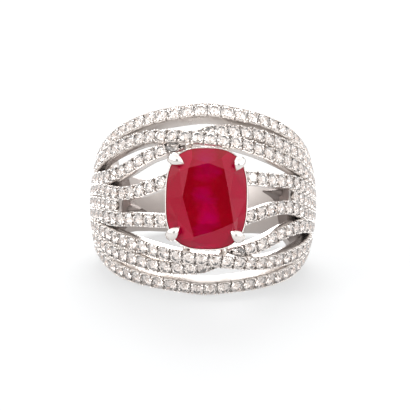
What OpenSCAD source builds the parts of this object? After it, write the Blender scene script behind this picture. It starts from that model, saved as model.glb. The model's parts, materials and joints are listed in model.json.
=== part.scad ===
// Dress ring: eight rows of diamonds sweep from the shoulders over and under each other
// round a cushion-cut ruby, which four claws hold in an open basket.
// The ring is first drawn with the finger's axis along Z and the ruby facing -Y.
// A place on its outer surface is given by t, the angle round the finger from the ruby,
// positive to the right, and z, the height along the finger. It is then laid on its side.

/* [Finger] */
// Inside diameter of the ring
bore_d = 17.3; // [16.9:0.1:17.7]

/* [Outer surface] */
// Half the width across the two shoulders
shoulder_r = 11.15; // [11.1:0.05:11.3]
// Height of the dome above the finger's axis, at the ruby
dome_r = 13.4; // [13.3:0.05:13.5]
// Outer radius at the back of the shank
back_r = 10.3; // [10.2:0.05:10.6]
// Half axis of the dome along the finger, which sets how fast it rounds off to the rims
dome_half_axis = 14.1; // [14:0.05:14.3]

/* [Diamond rows] */
// Width of a row at the front
row_w = 1.42; // [1.36:0.02:1.44]
// Width of a row where it ends behind the shoulder
row_end_w = 0.88; // [0.84:0.02:0.9]
// Depth of the bar that carries a row
row_depth = 1.25; // [1.2:0.05:1.3]
// Plain metal from a stone's edge to the row's edge
row_rail = 0.12; // [0.12:0.01:0.14]
// Free space between two stones of a row
stone_gap = 0.12; // [0.12:0.01:0.16]

/* [Ruby] */
// Width of the ruby across the finger's direction
ruby_w = 7.7; // [7.5:0.05:7.75]
// Length of the ruby along the finger
ruby_l = 9.8; // [9.6:0.05:9.85]
// Height of its girdle above the finger's axis
ruby_girdle = 13.75; // [13.6:0.05:13.9]
// Height of its crown
ruby_crown = 1.3; // [1.1:0.05:1.4]
// Depth of its pavilion
ruby_pavilion = 3.9; // [3.6:0.05:4]

/* [Hidden] */

bore_r = bore_d / 2;
metal = [0.86, 0.86, 0.88];
diamond = [0.93, 0.96, 1.0];
red = [0.70, 0.02, 0.20];

// Each row of a path is a place that the middle of a diamond row passes: t, z, lift off the dome.
// All rows end at the same t, where they sink into the shank.
row_end = 98;
RIM_PATH = [
    [-row_end, 3.7, -0.5], [-92, 4.25, 0], [-82, 5.15, 0], [-72, 6.05, 0], [-62, 6.75, 0],
    [-50, 7.4, 0], [-36, 8, 0], [-20, 8.45, 0], [0, 8.75, 0], [20, 8.45, 0], [36, 8, 0], [50, 7.4, 0],
    [62, 6.75, 0], [72, 6.05, 0], [82, 5.15, 0], [92, 4.25, 0], [row_end, 3.7, -0.5]];
OVER_PATH = [
    [-row_end, 2.85, -0.4], [-92, 3.18, 0], [-82, 3.8, 0], [-72, 4.45, 0], [-62, 5.05, 0],
    [-53, 5.5, 0], [-44, 5.92, 0.05], [-34, 6.2, 0.15], [-18, 6.18, 0.25], [-1, 5.92, 0.25],
    [12, 5.7, 0.2], [23, 5.2, 0.1], [35, 4.5, 0], [43, 4.1, 0], [50, 3.75, 0], [57, 3.4, 0], [66, 3, 0],
    [78, 2.6, 0], [92, 2.12, 0], [row_end, 1.93, -0.4]];
UNDER_PATH = [
    [-row_end, 1.93, -0.4], [-92, 2.12, 0], [-80, 2.25, 0], [-70, 2.25, 0], [-62, 2.32, 0],
    [-54, 2.6, 0], [-47, 2.98, 0], [-37, 3.88, 0], [-31, 4.42, -0.05], [-24, 5.02, -0.35],
    [-16, 5.75, -0.8], [-8, 6.45, -0.75], [0, 6.9, -0.45], [9, 7.08, -0.3], [19, 7, -0.25],
    [27, 6.82, -0.15], [33, 6.52, 0], [39, 6.1, 0], [45, 5.62, 0], [52, 5.25, 0], [62, 4.75, 0],
    [72, 4.25, 0], [82, 3.75, 0], [92, 3.18, 0], [row_end, 2.85, -0.4]];
// The middle row comes from both shoulders and ends on each side of the ruby.
MIDDLE_LEFT_PATH = [
    [-row_end, 0.97, -0.4], [-92, 1.06, 0], [-80, 1.08, 0], [-68, 1, 0], [-60, 0.78, 0],
    [-52, 0.55, 0], [-45, 0.52, 0], [-38, 0.72, 0], [-31, 1.1, 0], [-24, 1.55, 0], [-17, 2.05, 0]];
MIDDLE_RIGHT_PATH = [
    [17, 2.2, 0], [25, 2.2, 0], [33, 2.12, 0], [41, 2.06, 0], [49, 2.03, 0], [57, 1.9, 0], [66, 1.6, 0],
    [78, 1.3, 0], [92, 1.06, 0], [row_end, 0.97, -0.4]];
// A short row fills the wedge between the two middle rows on the left shoulder.
WEDGE_PATH = [
    [-row_end, 0, -0.4], [-92, 0, 0], [-78, -0.1, 0], [-66, -0.33, 0], [-58, -0.55, 0],
    [-48, -0.72, -0.1]];

// Where the stones of a path start and stop, as angles t.
pave_end = 91.2;
UNDER_HIDDEN = [-25, 5];
middle_stop = 21;
wedge_stop = 51;

// Rows of the shank's outline on the right: t, lowest z, highest z, how far it lies under the dome.
SHANK_RIGHT = [
    [44.4, 0.25, 1.15, 1.1], [53, -1.4, 2.15, 0.9], [61, -2.7, 2.75, 0.9], [72, -3.4, 3.4, 0.9],
    [84, -3.7, 3.7, 0.9], [93.5, -3.75, 3.75, 0.9], [96.5, -4.6, 4.6, 0], [104, -3.85, 3.85, 0],
    [112, -3.3, 3.3, 0],
    [121, -2.92, 2.92, 0], [132, -2.68, 2.68, 0], [144, -2.6, 2.6, 0], [156, -2.6, 2.6, 0],
    [168, -2.6, 2.6, 0]];
// Across the shank, its outer side as: share of the width, depth under the outer surface.
SHANK_SIDE = [[0, 0.5], [0.14, 0.08], [0.5, -0.03], [0.86, 0.08], [1, 0.5]];
// How far its wall starts inside the bore before that is cut, and half the length of the cut.
shank_inside = 0.8;
shank_reach = 5;

// Largest step of t from one section of a bar to the next.
station = 9;
// The rows keep their full width up to this t, and then narrow towards their ends.
taper_start = 45;
taper_power = 1.2;
// How far the end of a bar, claw or strut is domed out.
end_bulge = 0.1;
// Where a bar's sides turn in towards its hidden edge, as a share of its depth.
bar_side = 0.65;

// A row's stone: how far its girdle lies under the rails and clear of them, then its table, its
// crown and its pavilion as shares of its radius.
girdle_under_rail = 0.02;
seat_clear = 0.035;
stone_table = 0.58;
stone_crown = 0.32;
stone_pavilion = 0.86;

// The ruby's outline, a superellipse of this power, is rounded between its claws.
corner = 2.9;
cushion_sides = 16;
// Its rings from the tip up to the table: share of the outline, depth as a share of the pavilion
// below the girdle, or height as a share of the crown above it.
RUBY_BELOW = [[0.06, 1], [0.52, 0.61], [0.84, 0.24], [1, 0.03]];
RUBY_ABOVE = [[1, 0], [0.8, 0.72], [0.6, 1]];
ruby_clear = 0.04;

// Rails of the basket: share of the ruby's outline, thickness, depth of the lower and upper edge
// under the girdle.
RAILS = [[1, 0.75, 1.15, 0.3], [0.6, 0.6, 4.3, 3.55]];
// Claw, from its foot to its tip: share of the way out to the corner, height over the girdle, radius.
CLAW = [[0.5, -4.15, 0.42], [0.72, -2.75, 0.44], [0.93, -0.95, 0.46], [1, 0, 0.5], [0.97, 0.6, 0.5],
        [0.86, 1, 0.4], [0.72, 1.2, 0.2]];
claw_corner = [3.45, 4.25];
claw_sides = 6;
// A strut ties the basket to the row that passes above the ruby, from one place to the other.
STRUT = [[1.87, -11.35, 5.2], [1.7, -12.7, 4.3]];
strut_r = 0.4;

function unit(v) = v / norm(v);
function last(list) = list[len(list) - 1];

// The dome and the back of the ring are two half ellipsoids that meet at the shoulders.
function front_or_back(t) = cos(t) > 0 ? dome_r : back_r;
function on_dome(t, z) = let (round = sqrt(1 - pow(z / dome_half_axis, 2)))
    [shoulder_r * round * sin(t), -front_or_back(t) * round * cos(t), z];
function outward(t, z) = let (p = on_dome(t, z))
    unit([p.x / pow(shoulder_r, 2), p.y / pow(front_or_back(t), 2), p.z / pow(dome_half_axis, 2)]);
function above_dome(t, z, lift) = on_dome(t, z) + lift * outward(t, z);

// Smooth curve through the rows of a table, read at t in column c.
function row_before(table, t) = max([0, for (i = [0 : len(table) - 2]) if (table[i][0] <= t) i]);
function slope(table, i, c) = let (a = max(i - 1, 0), b = min(i + 1, len(table) - 1))
    (table[b][c] - table[a][c]) / (table[b][0] - table[a][0]);
function read(table, t, c) =
    let (i = row_before(table, t), h = table[i + 1][0] - table[i][0], u = (t - table[i][0]) / h)
    table[i][c] * (1 + 2 * u) * pow(1 - u, 2) + table[i + 1][c] * u * u * (3 - 2 * u)
    + h * (slope(table, i, c) * u * pow(1 - u, 2) - slope(table, i + 1, c) * u * u * (1 - u));

// Width of a row at t: full at the front, narrowing over the shoulder.
function width_at(t) = row_w + (row_end_w - row_w)
    * pow(max(0, min(1, (abs(t) - taper_start) / (row_end - taper_start))), taper_power);
function stone_r(t) = width_at(t) / 2 - row_rail;

function middle(path, t) = above_dome(t, read(path, t, 1), read(path, t, 2));
// The three directions of a row at t: across, along and out.
function directions(path, t) =
    let (along = unit(middle(path, t + 0.5) - middle(path, t - 0.5)),
         across = unit(cross(outward(t, read(path, t, 1)), along)))
    [across, along, cross(along, across)];
function section(path, t, outline) = let (p = middle(path, t), d = directions(path, t))
    [for (q = outline) p + q[0] * d[0] + q[1] * d[2]];

// Triangles of a skin over n rings of m points each, and of an end that closes one ring at a point.
function skin(n, m) = [for (i = [0 : n - 2], j = [0 : m - 1])
    let (a = i * m + j, b = i * m + (j + 1) % m) each [[a, b + m, b], [a, a + m, b + m]]];
function end(point, first, m) = [for (j = [0 : m - 1]) [point, first + j, first + (j + 1) % m]];
function turned_over(faces) = [for (f = faces) [f[2], f[1], f[0]]];

function inner_point(ring) = let (k = floor(len(ring) / 4)) (ring[k] + ring[len(ring) - k]) / 2;
function end_point(ring, next, bulge) =
    let (p = inner_point(ring)) p + bulge * unit(p - inner_point(next));
module sweep(rings, bulge = 0) {
    n = len(rings);
    m = len(rings[0]);
    ends = [end_point(rings[0], rings[1], bulge), end_point(rings[n - 1], rings[n - 2], bulge)];
    polyhedron(points = concat([for (r = rings) each r], ends),
               faces = concat(skin(n, m), end(n * m, 0, m), turned_over(end(n * m + 1, (n - 1) * m, m))),
               convexity = 8);
}

module closed_sweep(rings) {
    n = len(rings);
    m = len(rings[0]);
    wrap = [for (j = [0 : m - 1]) let (a = (n - 1) * m + j, b = (n - 1) * m + (j + 1) % m)
        each [[a, (j + 1) % m, b], [a, j, (j + 1) % m]]];
    polyhedron(points = [for (r = rings) each r], faces = concat(skin(n, m), wrap), convexity = 8);
}

function stations(from, to) = let (n = max(1, ceil((to - from) / station)))
    [for (i = [0 : n]) from + (to - from) * i / n];

// The metal bar under a row: a groove for the stones between two thin rails, rounded off where hidden.
function bar_outline(w) = let (groove = w / 2 - row_rail + seat_clear) [[w / 2, 0], [groove, 0],
    [0, -w / 2], [-groove, 0], [-w / 2, 0], [-w / 2, -bar_side * row_depth],
    [0, -row_depth], [w / 2, -bar_side * row_depth]];
module bar(path) {
    sweep([for (t = stations(path[0][0], last(path)[0])) section(path, t, bar_outline(width_at(t)))],
          end_bulge);
}

// Stones of a row: as many as fit from one angle to the other, each as large as the row is there.
function pitch(t) = 2 * stone_r(t) + stone_gap;
function steps(path, from, to, n) = [for (i = [0 : n - 1]) let (a = from + (to - from) * i / n,
    b = from + (to - from) * (i + 1) / n) norm(middle(path, b) - middle(path, a)) / pitch((a + b) / 2)];
function sums(list) = [for (i = 0, s = 0; i <= len(list);
    s = s + (i < len(list) ? list[i] : 0), i = i + 1) s];
function stone_angles(path, from, to) =
    let (n = 60, s = sums(steps(path, from, to, n)), whole = floor(last(s)))
    [for (k = [0 : whole - 1]) let (want = (k + 0.5) * last(s) / whole,
        i = max([for (j = [0 : n - 1]) if (s[j] <= want) j]))
        from + (to - from) * (i + (want - s[i]) / (s[i + 1] - s[i])) / n];

// A round stone with an eight-sided table, eight crown facets and eight below the girdle.
function octagon(r, h) = [for (i = [0 : 7]) [r * cos(45 * i + 22.5), r * sin(45 * i + 22.5), h]];
module stone(r) {
    polyhedron(points = concat(octagon(stone_table * r, stone_crown * r), octagon(r, 0),
                               [[0, 0, -stone_pavilion * r]]),
               faces = concat([[for (i = [7 : -1 : 0]) i]],
                              [for (i = [0 : 7]) [i, (i + 1) % 8, (i + 1) % 8 + 8, i + 8]],
                              [for (i = [0 : 7]) [i + 8, (i + 1) % 8 + 8, 16]]));
}

module stones(path, from, to) {
    for (t = stone_angles(path, from, to)) {
        d = directions(path, t);
        p = middle(path, t) - girdle_under_rail * d[2];
        multmatrix([[d[0].x, d[1].x, d[2].x, p.x],
                    [d[0].y, d[1].y, d[2].y, p.y],
                    [d[0].z, d[1].z, d[2].z, p.z]]) stone(stone_r(t));
    }
}

// Half a turn about the ruby's axis takes the upper rows to the lower ones.
module other_half() { rotate([0, 180, 0]) children(); }
module both_halves() {
    children();
    other_half() children();
}

module bars() {
    both_halves() {
        bar(RIM_PATH);
        bar(OVER_PATH);
        bar(UNDER_PATH);
        bar(MIDDLE_LEFT_PATH);
        bar(MIDDLE_RIGHT_PATH);
        bar(WEDGE_PATH);
    }
}

// The shank, from one front opening round the back to the other.
function shank_ring(t, low, high, under) = let (r = bore_r - shank_inside) concat(
    [[r * sin(t), -r * cos(t), high]],
    [for (q = SHANK_SIDE) above_dome(t, high + (low - high) * q[0], -under - q[1])],
    [[r * sin(t), -r * cos(t), low]]);
module shank() {
    n = len(SHANK_RIGHT);
    rings = concat([for (r = SHANK_RIGHT) shank_ring(r[0], r[1], r[2], r[3])],
                   [shank_ring(180, SHANK_RIGHT[n - 1][1], SHANK_RIGHT[n - 1][2], 0)],
                   [for (i = [n - 1 : -1 : 0]) let (r = SHANK_RIGHT[i])
                       shank_ring(360 - r[0], -r[2], -r[1], r[3])]);
    sweep(rings, end_bulge);
}

// The cushion outline of the ruby and its basket, at a share of full size and a height.
function power(v, e) = sign(v) * pow(abs(v), e);
function cushion(share, grow, h) = [for (i = [0 : cushion_sides - 1])
    let (a = 360 * (i + 0.5) / cushion_sides, x = ruby_w / 2 * power(cos(a), 2 / corner),
         z = ruby_l / 2 * power(sin(a), 2 / corner), k = norm([x, z]))
    [x * (share + grow / k), -h, z * (share + grow / k)]];

// The ruby, grown on every side to make room for it in its basket.
module ruby_shape(grow) {
    sweep(concat([for (r = RUBY_BELOW) cushion(r[0], grow, ruby_girdle - r[1] * ruby_pavilion - grow)],
                 [for (r = RUBY_ABOVE) cushion(r[0], grow, ruby_girdle + r[1] * ruby_crown + grow)]));
}

// A rail of the basket: a square band round the cushion outline.
module rail(share, thick, low, high) {
    outer = cushion(share, 0, ruby_girdle - low);
    closed_sweep([for (p = outer) let (top = [p.x, high - ruby_girdle, p.z],
        q = thick * unit([p.x, 0, p.z])) [p, p - q, top - q, top]]);
}

function claw_middle(sx, sz, c) =
    [c[0] * sx * claw_corner[0], -ruby_girdle - c[1], c[0] * sz * claw_corner[1]];
function claw_rings(sx, sz) = [for (k = [0 : len(CLAW) - 1])
    let (before = claw_middle(sx, sz, CLAW[max(k - 1, 0)]),
         after = claw_middle(sx, sz, CLAW[min(k + 1, len(CLAW) - 1)]), way = unit(after - before),
         u = unit(cross(way, [sx * claw_corner[0], 0, sz * claw_corner[1]])), v = cross(way, u))
    [for (i = [0 : claw_sides - 1]) let (a = 360 * i / claw_sides)
        claw_middle(sx, sz, CLAW[k]) + CLAW[k][2] * (cos(a) * u + sin(a) * v)]];

module strut(side) {
    sweep([for (p = STRUT) [for (i = [0 : 5])
        [side * p.x, p.y, p.z] + strut_r * [cos(60 * i), 0.5 * sin(60 * i), sin(60 * i)]]], end_bulge);
}

module basket() {
    for (r = RAILS) rail(r[0], r[1], r[2], r[3]);
    for (sx = [-1, 1], sz = [-1, 1]) sweep(claw_rings(sx, sz), end_bulge);
    both_halves() {
        strut(-1);
        strut(1);
    }
}

// All soldered metal before the finger hole is bored.
module casting() {
    difference() {
        union() {
            bars();
            shank();
            basket();
        }
        ruby_shape(ruby_clear);
    }
}

// How far the casting reaches along the finger, from the rim row's own sections.
rim_reach = max([for (t = stations(RIM_PATH[0][0], last(RIM_PATH)[0]))
    for (p = section(RIM_PATH, t, bar_outline(width_at(t)))) p.z]);

// Laid on its side, the ring stands on the edge of its lower rim in front and of its shank behind.
back_ring = shank_ring(180, last(SHANK_RIGHT)[1], last(SHANK_RIGHT)[2], last(SHANK_RIGHT)[3]);
back_foot = back_ring[len(SHANK_SIDE)];
rim_foot = [for (p = section(RIM_PATH, 0, bar_outline(row_w))) if (p.z == rim_reach) [p.x, p.y, -p.z]][0];
lean = atan((back_foot.z - rim_foot.z) / (back_foot.y - rim_foot.y));
function depth_lying(p) = p.y * cos(lean) + p.z * sin(lean);
function height_lying(p) = p.z * cos(lean) - p.y * sin(lean);
foremost = min([for (r = claw_rings(1, -1)) for (p = r) depth_lying(p)]);
rearmost = max([for (p = back_ring) depth_lying(p)]);
module laid_down() {
    translate([0, -(foremost + rearmost) / 2, -height_lying(back_foot)]) rotate([-lean, 0, 0]) children();
}

module mount() {
    color(metal) laid_down() difference() {
        resize([0, 0, 2 * rim_reach]) casting();
        translate([0, 0, -shank_reach]) cylinder(r = bore_r, h = 2 * shank_reach, $fn = 96);
    }
}

module ruby() { color(red) laid_down() ruby_shape(0); }

module rim_stones() { stones(RIM_PATH, -pave_end, pave_end); }
module over_stones() { stones(OVER_PATH, -pave_end, pave_end); }
module under_stones() {
    stones(UNDER_PATH, -pave_end, UNDER_HIDDEN[0]);
    stones(UNDER_PATH, UNDER_HIDDEN[1], pave_end);
}
// The wedge's stones lie among those of the middle rows.
module middle_stones() {
    stones(MIDDLE_LEFT_PATH, -pave_end, -middle_stop);
    stones(MIDDLE_RIGHT_PATH, middle_stop, pave_end);
    stones(WEDGE_PATH, -pave_end, -wedge_stop);
}

module diamonds_upper_rim() { color(diamond) laid_down() rim_stones(); }
module diamonds_upper_over() { color(diamond) laid_down() over_stones(); }
module diamonds_upper_under() { color(diamond) laid_down() under_stones(); }
module diamonds_upper_middle() { color(diamond) laid_down() middle_stones(); }
module diamonds_lower_middle() { color(diamond) laid_down() other_half() middle_stones(); }
module diamonds_lower_under() { color(diamond) laid_down() other_half() under_stones(); }
module diamonds_lower_over() { color(diamond) laid_down() other_half() over_stones(); }
module diamonds_lower_rim() { color(diamond) laid_down() other_half() rim_stones(); }

mount();
ruby();
diamonds_upper_rim();
diamonds_upper_over();
diamonds_upper_under();
diamonds_upper_middle();
diamonds_lower_middle();
diamonds_lower_under();
diamonds_lower_over();
diamonds_lower_rim();
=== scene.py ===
"""Dress ring: a cushion-cut ruby in an open basket, with eight rows of diamonds round it."""
import json
import math
from bisect import bisect_right

import bmesh
import bpy
from bpy.props import FloatProperty, FloatVectorProperty, PointerProperty
from mathutils import Matrix, Vector


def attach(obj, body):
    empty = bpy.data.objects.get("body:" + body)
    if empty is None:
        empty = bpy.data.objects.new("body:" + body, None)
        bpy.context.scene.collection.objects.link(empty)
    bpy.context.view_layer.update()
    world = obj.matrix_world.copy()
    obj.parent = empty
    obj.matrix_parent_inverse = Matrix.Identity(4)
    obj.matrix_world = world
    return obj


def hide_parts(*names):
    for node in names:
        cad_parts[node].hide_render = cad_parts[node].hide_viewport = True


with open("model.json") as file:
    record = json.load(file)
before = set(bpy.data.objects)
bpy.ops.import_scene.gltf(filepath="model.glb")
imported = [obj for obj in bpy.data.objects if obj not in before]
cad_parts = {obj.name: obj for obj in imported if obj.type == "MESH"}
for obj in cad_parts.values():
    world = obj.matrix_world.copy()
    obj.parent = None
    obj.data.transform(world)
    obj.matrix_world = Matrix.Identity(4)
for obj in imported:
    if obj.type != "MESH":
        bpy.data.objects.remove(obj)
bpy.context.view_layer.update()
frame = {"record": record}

bl_info = {
    "name": "Ruby dress ring",
    "version": (1, 0, 0),
    "blender": (4, 5, 0),
    "location": "3D View > Sidebar > Ring",
    "description": "Builds a domed openwork ring with a cushion-cut ruby and rows of diamonds",
    "category": "Object",
}

# One millimetre in metres.
MM = 0.001

# The finger hole's place and direction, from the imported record, lay the upright ring on its side.
FINGER = frame["record"]["mounts"][0]
FINGER_AXIS = Vector(FINGER["axis"]).normalized()
LEAN = math.atan2(FINGER_AXIS.y, FINGER_AXIS.z)
LAY = (Matrix.Translation(Vector(FINGER["pos_m"])) @ Matrix.Rotation(-LEAN, 4, "X")
       @ Matrix.Scale(MM, 4))
BORE_R = FINGER["dims"]["r_mm"]

# A row of a path is a place that the middle of a diamond row passes: angle round the finger from
# the ruby in degrees, height along the finger, lift off the dome and width, all in millimetres.
PATHS = {
    "rim": [
        (-98, 3.7, -0.5, 0.92), (-92, 4.25, 0, 1.05), (-82, 5.15, 0, 1.28), (-72, 6.05, 0, 1.5),
        (-62, 6.75, 0, 1.6), (-50, 7.4, 0, 1.58), (-36, 8.02, 0, 1.5), (-20, 8.47, 0, 1.42),
        (0, 8.8, 0, 1.4), (20, 8.47, 0, 1.42), (36, 8.04, 0, 1.46), (50, 7.46, 0, 1.56),
        (62, 6.8, 0, 1.6), (72, 6.07, 0, 1.5), (82, 5.16, 0, 1.28), (92, 4.25, 0, 1.05),
        (98, 3.7, -0.5, 0.92)],
    "over": [
        (-98, 2.85, -0.4, 0.9), (-92, 3.18, 0, 1.05), (-82, 3.8, 0, 1.3), (-72, 4.42, 0, 1.5),
        (-62, 4.98, 0, 1.58), (-53, 5.42, 0, 1.54), (-44, 5.8, 0.05, 1.46), (-34, 6.08, 0.15, 1.4),
        (-18, 6.08, 0.25, 1.36), (-1, 5.9, 0.25, 1.36), (12, 5.7, 0.2, 1.36), (23, 5.35, 0.1, 1.38),
        (35, 4.82, 0, 1.42), (43, 4.42, 0, 1.5), (50, 4.06, 0, 1.54), (57, 3.7, 0, 1.54),
        (66, 3.22, 0, 1.48), (78, 2.68, 0, 1.32), (92, 2.12, 0, 1.05), (98, 1.93, -0.4, 0.9)],
    "under": [
        (-98, 1.93, -0.4, 0.9), (-92, 2.12, 0, 1.05), (-80, 2.18, 0, 1.28), (-70, 2.14, 0, 1.4),
        (-62, 2.22, 0, 1.44), (-54, 2.52, 0, 1.42), (-47, 2.94, 0, 1.4), (-37, 3.86, 0, 1.38),
        (-31, 4.42, -0.05, 1.36), (-24, 5.02, -0.35, 1.34), (-16, 5.72, -0.8, 1.36),
        (-8, 6.36, -0.75, 1.36), (0, 6.8, -0.45, 1.36), (9, 6.98, -0.3, 1.36),
        (19, 6.92, -0.25, 1.36), (27, 6.74, -0.15, 1.38), (33, 6.46, 0, 1.38), (39, 6.16, 0, 1.44),
        (45, 5.83, 0, 1.5), (52, 5.52, 0, 1.54), (62, 5.05, 0, 1.54), (72, 4.45, 0, 1.46),
        (82, 3.83, 0, 1.26), (92, 3.18, 0, 1.05), (98, 2.85, -0.4, 0.9)],
    "middle_left": [
        (-98, 0.97, -0.4, 0.9), (-92, 1.06, 0, 1.05), (-80, 1.08, 0, 1.14), (-68, 1, 0, 1.24),
        (-60, 0.78, 0, 1.34), (-52, 0.55, 0, 1.4), (-45, 0.52, 0, 1.4), (-38, 0.72, 0, 1.38),
        (-31, 1.1, 0, 1.38), (-24, 1.55, 0, 1.38), (-17, 2.05, 0, 1.38)],
    "middle_right": [
        (13, 2.2, 0, 1.38), (25, 2.2, 0, 1.38), (33, 2.12, 0, 1.38), (41, 2.06, 0, 1.4),
        (49, 2.03, 0, 1.44), (57, 1.9, 0, 1.48), (66, 1.6, 0, 1.4), (78, 1.3, 0, 1.24),
        (92, 1.06, 0, 1.05), (98, 0.97, -0.4, 0.9)],
    "wedge": [
        (-98, 0, -0.4, 0.9), (-92, 0, 0, 1.05), (-78, -0.1, 0, 1.14), (-66, -0.33, 0, 1.22),
        (-58, -0.55, 0, 1.24), (-48, -0.72, -0.1, 1.24)],
}
# Which stretches of each path hold stones, as angles, and an angle where two stones meet.
STRETCHES = {
    "rim": [(-92, 92, 0)],
    "over": [(-92, 92, -1.8)],
    "under": [(-92, -17, -29.4), (-12.5, 92, 4.5)],
    "middle_left": [(-92, -17, -39.2)],
    "middle_right": [(14, 92, 27)],
    "wedge": [(-92, -51, -51.5)],
}
# The diamond nodes of the upper half and the paths whose stones each one holds.
ROW_NODES = {
    "upper_rim": ["rim"],
    "upper_over": ["over"],
    "upper_under": ["under"],
    "upper_middle": ["middle_left", "middle_right", "wedge"],
}
# Outline of the shank on the right: angle, lowest and highest point, depth under the dome.
SHANK = [
    (41, 1.02, 1.22, 1.1), (46, 0.72, 1.45, 1.0), (51, 0.35, 1.8, 0.9), (55, -0.6, 2.2, 0.9),
    (61, -2.7, 2.75, 0.9), (72, -3.4, 3.4, 0.9), (84, -3.7, 3.7, 0.9), (93.5, -3.75, 3.75, 0.9),
    (96.5, -4.6, 4.6, 0), (104, -3.85, 3.85, 0), (112, -3.3, 3.3, 0), (121, -2.92, 2.92, 0),
    (132, -2.68, 2.68, 0), (144, -2.6, 2.6, 0), (180, -2.6, 2.6, 0)]
# Across the shank, its outer side as share of the width and depth under the outer surface.
SHANK_SIDE = [(0, 0.5), (0.03, 0.3), (0.08, 0.16), (0.16, 0.07), (0.3, 0.0), (0.5, -0.03),
              (0.7, 0.0), (0.84, 0.07), (0.92, 0.16), (0.97, 0.3), (1, 0.5)]

# The ruby's table, seen from the front: right and up from its middle, going round from the top.
TABLE = [(0.07, 3.38), (1.62, 2.84), (2.2, 0.1), (2.62, -2.35), (0.75, -3.2), (-1.19, -3.78),
         (-2.35, 0.05), (-1.82, 2.89)]
# The main crown facets in the same order: where each reaches the girdle, as an angle from the
# right, and how much of the crown's pinker tone it shows: painted light that makes some facets
# lighter and some darker.
MAINS = [(90, 0.1), (52, 0.85), (0, 0.95), (-47, 0.85), (-78, 0.9), (-128, 0.95), (-180, 0.6),
         (-232, 0.85)]
# Rings of the pavilion: share of the outline, depth as a share of its whole depth.
PAVILION = [(1, 0.035), (0.8, 0.3), (0.5, 0.66), (0.06, 1)]
# Power of the curve that the ruby's outline follows: 2 is an ellipse, more is squarer.
CUSHION_POWER = 2.9

# Each claw from the front: its outer place, then its tip, right and up from the ruby's middle.
CLAWS = [((-3.42, 3.84), (-2.22, 3.22)), ((3.2, 3.7), (2.76, 2.72)),
         ((-3.42, -3.68), (-2.55, -2.85)), ((3.3, -3.8), (2.32, -3.06))]
# A claw's shaft: share of its outer place, height over the girdle, half its width and thickness.
CLAW_SHAFT = [(0.5, -4.15, 0.36, 0.36), (0.62, -3.4, 0.4, 0.38), (0.76, -2.4, 0.42, 0.4),
              (0.9, -1.2, 0.45, 0.42)]
# Its head: share of the way from the outer place to the tip, and the rest as above.
CLAW_HEAD = [(-0.02, -0.4, 0.5, 0.45), (0.0, 0.2, 0.56, 0.48), (0.08, 0.66, 0.57, 0.42),
             (0.28, 0.9, 0.53, 0.28), (0.52, 0.96, 0.42, 0.2), (0.78, 0.88, 0.25, 0.13),
             (1.0, 0.74, 0.05, 0.05)]
# Rails of the basket: share of the ruby's outline, how far outside it, thickness, and how far the
# lower and the upper edge lie under the girdle.
RAILS = [(1.0, 0.19, 0.8, 1.15, 0.14), (0.6, 0.0, 0.6, 4.3, 3.55)]
# The two ends of the strut at the upper right, and half its width and thickness.
STRUT = [(1.87, -11.35, 5.2), (1.7, -12.7, 4.3)]
STRUT_HALF = (0.4, 0.36)
# Painted shade on the claws and struts: how much their metal is darkened.
ROD_PAINTED_SHADE = 0.12


def paint(code):
    """Turns an sRGB hex colour into the linear one that Blender keeps."""
    parts = [int(code[i:i + 2], 16) / 255 for i in (1, 3, 5)]
    linear = [c / 12.92 if c <= 0.04045 else ((c + 0.055) / 1.055) ** 2.4 for c in parts]
    return tuple(linear) + (1.0,)


def add(tree, kind, inputs=None, **settings):
    """Adds one node to a tree, sets it up, and gives its inputs values or links."""
    node = tree.nodes.new(kind)
    for name, value in settings.items():
        setattr(node, name, value)
    for name, value in (inputs or {}).items():
        if isinstance(value, bpy.types.NodeSocket):
            tree.links.new(value, node.inputs[name])
        else:
            node.inputs[name].default_value = value
    return node


def length(name, description, default):
    """A size for the sidebar, in metres."""
    return FloatProperty(name=name, description=description, default=default, unit="LENGTH",
                         precision=5)


def colour(name, description, code):
    """A colour for the sidebar, from its sRGB hex code."""
    return FloatVectorProperty(name=name, description=description, default=paint(code), size=4,
                               subtype="COLOR", min=0, max=1)


class RingSizes(bpy.types.PropertyGroup):
    """Sizes of the ring: the construction model's, but for the rim's swell and a shorter ruby."""

    shoulder_r: length("Shoulder radius", "Half the width across the two shoulders", 0.01115)
    dome_r: length("Dome height", "Height of the dome above the finger's axis at the ruby", 0.0134)
    back_r: length("Back radius", "Outer radius at the back of the shank", 0.0103)
    dome_half_axis: length("Dome half axis", "Half axis of the dome along the finger", 0.0141)
    row_share: FloatProperty(
        name="Row width", description="Width of the diamond rows as a share of the real one",
        default=1.0, min=0.9, max=1.05, subtype="FACTOR")
    row_roll: FloatProperty(
        name="Row roll", description="How much more than the dome the front rows lean outwards",
        default=0.2, min=0.0, max=0.8, subtype="FACTOR")
    rim_swell: length("Rim swell", "How much wider than the lower rim row the upper one gets",
                      0.00028)
    row_depth: length("Row depth", "Depth of the bar that carries a row", 0.00125)
    ruby_w: length("Ruby width", "Width of the ruby", 0.0077)
    ruby_l: length("Ruby length", "Length of the ruby along the finger", 0.00965)
    ruby_girdle: length("Girdle height", "Height of the ruby's girdle above the finger's axis",
                        0.01375)
    ruby_crown: length("Crown height", "Height of the ruby's crown", 0.0013)
    ruby_pavilion: length("Pavilion depth", "Depth of the ruby's pavilion", 0.0039)


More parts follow.
